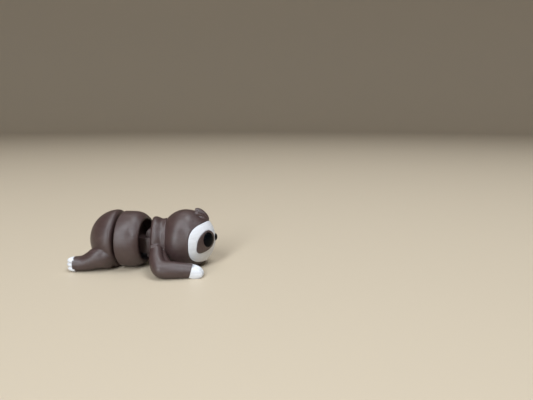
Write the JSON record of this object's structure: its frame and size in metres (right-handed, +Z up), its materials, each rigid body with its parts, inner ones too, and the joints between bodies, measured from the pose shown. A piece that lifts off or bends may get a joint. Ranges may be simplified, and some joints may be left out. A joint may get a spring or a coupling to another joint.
{
  "type": "articulated 3d-printed sloth toy",
  "caption": "Sloth-shaped toy lying on its belly, printed in plastic as a head-and-arms piece, a belly ring and a rump, linked so that the body bends from side to side.",
  "frame": {"origin": "middle of the toy's bounding box at the level it rests on", "axes": "+X towards the nose, along the axis of the middle ring; +Z up; +Y to the toy's left"},
  "size_m": [0.1102, 0.0758, 0.0445],
  "materials": {
    "brown_plastic": "satin",
    "white_plastic": "matte",
    "black_plastic": "gloss"
  },
  "bodies": {
    "front_body": {"head": "brown_plastic", "face_mask": "white_plastic", "eye_patch_left": "brown_plastic", "eye_patch_right": "brown_plastic", "pupil_left": "black_plastic", "pupil_right": "black_plastic", "nose": "black_plastic", "hair_tuft": "brown_plastic", "chest": "brown_plastic", "arm_left": "brown_plastic", "arm_right": "brown_plastic", "hand_left": "white_plastic", "hand_right": "white_plastic", "front_loop": "brown_plastic"},
    "middle_body": {"belly_ring": "brown_plastic", "ring_tongue": "brown_plastic", "ring_loop": "brown_plastic"},
    "rear_body": {"rump": "brown_plastic", "rump_tongue": "brown_plastic", "leg_left": "brown_plastic", "leg_right": "brown_plastic", "foot_left": "white_plastic", "foot_right": "white_plastic"}
  },
  "joints": [
    {"name": "front_link", "type": "hinge", "parent": "front_body", "child": "middle_body", "pos_m": [0.00398, -0.00502, 0.01745], "axis": [0, 0, 1], "range_deg": [-1, 27]},
    {"name": "rear_link", "type": "hinge", "parent": "middle_body", "child": "rear_body", "pos_m": [-0.01722, -0.00502, 0.01745], "axis": [0, 0, 1], "range_deg": [-9, 6]}
  ]
}
